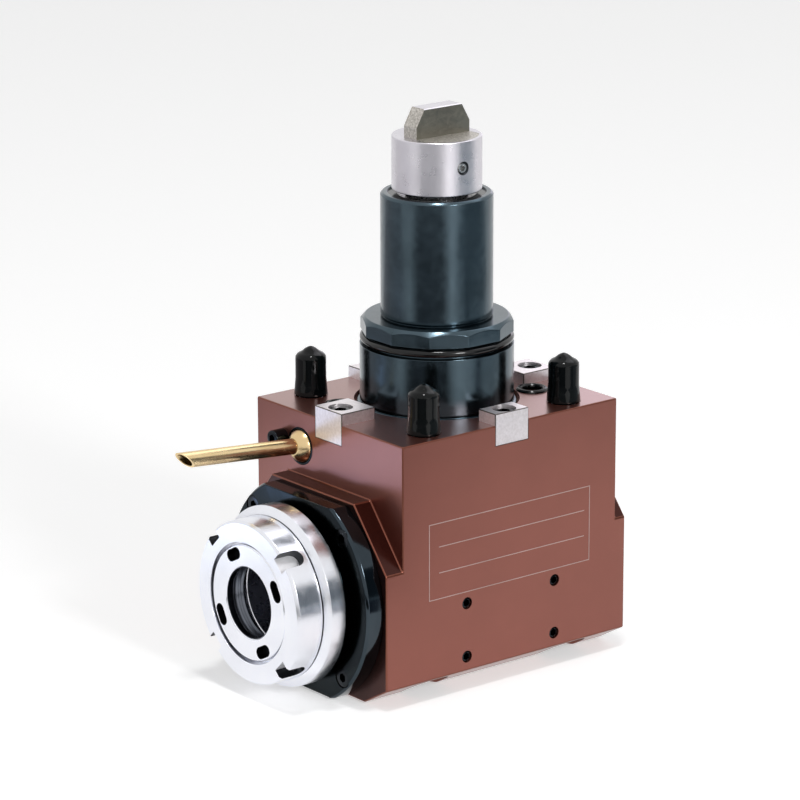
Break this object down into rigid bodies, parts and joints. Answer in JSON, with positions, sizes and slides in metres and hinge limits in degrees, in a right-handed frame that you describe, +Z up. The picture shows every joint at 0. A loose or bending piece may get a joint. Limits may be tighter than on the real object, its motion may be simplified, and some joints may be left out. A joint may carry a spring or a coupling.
{
  "type": "live tool holder",
  "caption": "Driven turret tool holder: square painted housing, stepped round shank with a tang on top, collet spindle at the front and a swivel coolant nozzle.",
  "frame": {"origin": "where the shank's axis meets the seat face, which is the top of the housing", "axes": "+Z up along the shank, away from the housing; the spindle's nose points towards -Y; the nozzle is on the -X side of the front face"},
  "size_m": [0.083, 0.1541, 0.2006],
  "materials": {
    "painted_steel": "satin",
    "black_steel": "black oxide",
    "bright_steel": "turned and polished",
    "tool_steel": "hardened, ground",
    "nickel": "nickelled, satin",
    "screw_steel": "black oxide",
    "hard_steel": "hardened, ground",
    "cage_brass": "plain",
    "nozzle_brass": "polished",
    "seal_rubber": "matte",
    "vinyl": "soft gloss"
  },
  "bodies": {
    "holder": {"housing": "painted_steel", "shank_sleeve": "black_steel", "shank_o_ring": "seal_rubber", "bearing_retainer": "hard_steel", "shaft_seal": "seal_rubber", "drive_upper_race": "hard_steel", "drive_lower_races": "hard_steel", "drive_ball_cages": "cage_brass", "front_bearing_cap": "black_steel", "front_cap_screws": "screw_steel", "front_seal": "seal_rubber", "spindle_front_races": "hard_steel", "spindle_outer_spacer": "hard_steel", "spindle_rear_race": "hard_steel", "spindle_ball_cages": "cage_brass", "rear_cover": "black_steel", "rear_cover_screws": "screw_steel", "key_front": "nickel", "key_back": "nickel", "key_left": "nickel", "key_right": "nickel", "key_screws": "screw_steel", "mounting_bolts": "screw_steel", "port_o_rings": "seal_rubber", "nozzle_seat_ring": "black_steel", "coolant_plug_screw": "screw_steel", "side_set_screws": "nickel"},
    "drive": {"drive_shaft": "hard_steel", "drive_inner_races": "hard_steel", "shaft_spacer": "hard_steel", "coupling_drum": "bright_steel", "drum_set_screw": "screw_steel", "drive_tang": "tool_steel", "drive_bevel_gear": "hard_steel", "drive_gear_key": "hard_steel", "drive_gear_screw": "hard_steel"},
    "spindle_group": {"spindle": "bright_steel", "spindle_bevel_gear": "hard_steel", "spindle_gear_key": "hard_steel", "spindle_gear_nut": "hard_steel", "spindle_lock_nut": "hard_steel", "spindle_inner_races": "hard_steel", "spindle_inner_spacer": "hard_steel"},
    "extractor": {"collet_nut_ring": "bright_steel"},
    "nut": {"collet_nut": "bright_steel"},
    "ball": {"nozzle_ball": "nozzle_brass"},
    "tube": {"nozzle_tube": "nozzle_brass"},
    "cap_1": {"thread_cap_1": "vinyl"},
    "cap_2": {"thread_cap_2": "vinyl"},
    "cap_3": {"thread_cap_3": "vinyl"},
    "cap_4": {"thread_cap_4": "vinyl"}
  },
  "joints": [
    {"name": "spindle_spin", "type": "hinge", "parent": "holder", "child": "spindle_group", "pos_m": [0, 0, -0.0593], "axis": [0, 1, 0], "continuous": true},
    {"name": "drive_spin", "type": "hinge", "parent": "holder", "child": "drive", "pos_m": [0, 0, 0], "axis": [0, 0, 1], "continuous": true},
    {"name": "nut_travel", "type": "slide", "parent": "spindle_group", "child": "extractor", "axis": [0, -1, 0], "range_m": [0, 0.006]},
    {"name": "nut_turn", "type": "hinge", "parent": "extractor", "child": "nut", "pos_m": [0, -0.08, -0.0593], "axis": [0, -1, 0], "range_deg": [0, 1440]},
    {"name": "nozzle_tilt", "type": "hinge", "parent": "holder", "child": "ball", "pos_m": [-0.0162, -0.0468, -0.0127], "axis": [0.8944, 0, 0.4472], "range_deg": [-10.4, 19.6]},
    {"name": "tube_spin", "type": "hinge", "parent": "ball", "child": "tube", "pos_m": [-0.0162, -0.0468, -0.0127], "axis": [-0.0359, -0.9968, 0.0717], "continuous": true},
    {"name": "cap_1_lift", "type": "slide", "parent": "holder", "child": "cap_1", "axis": [0, 0, 1], "range_m": [0, 0.02]},
    {"name": "cap_2_lift", "type": "slide", "parent": "holder", "child": "cap_2", "axis": [0, 0, 1], "range_m": [0, 0.02]},
    {"name": "cap_3_lift", "type": "slide", "parent": "holder", "child": "cap_3", "axis": [0, 0, 1], "range_m": [0, 0.02]},
    {"name": "cap_4_lift", "type": "slide", "parent": "holder", "child": "cap_4", "axis": [0, 0, 1], "range_m": [0, 0.02]}
  ],
  "couplings": [
    {"joint": "drive_spin", "follows": "spindle_spin", "ratio": 1},
    {"joint": "nut_travel", "follows": "nut_turn", "m_per_rad": 0.00023873}
  ]
}
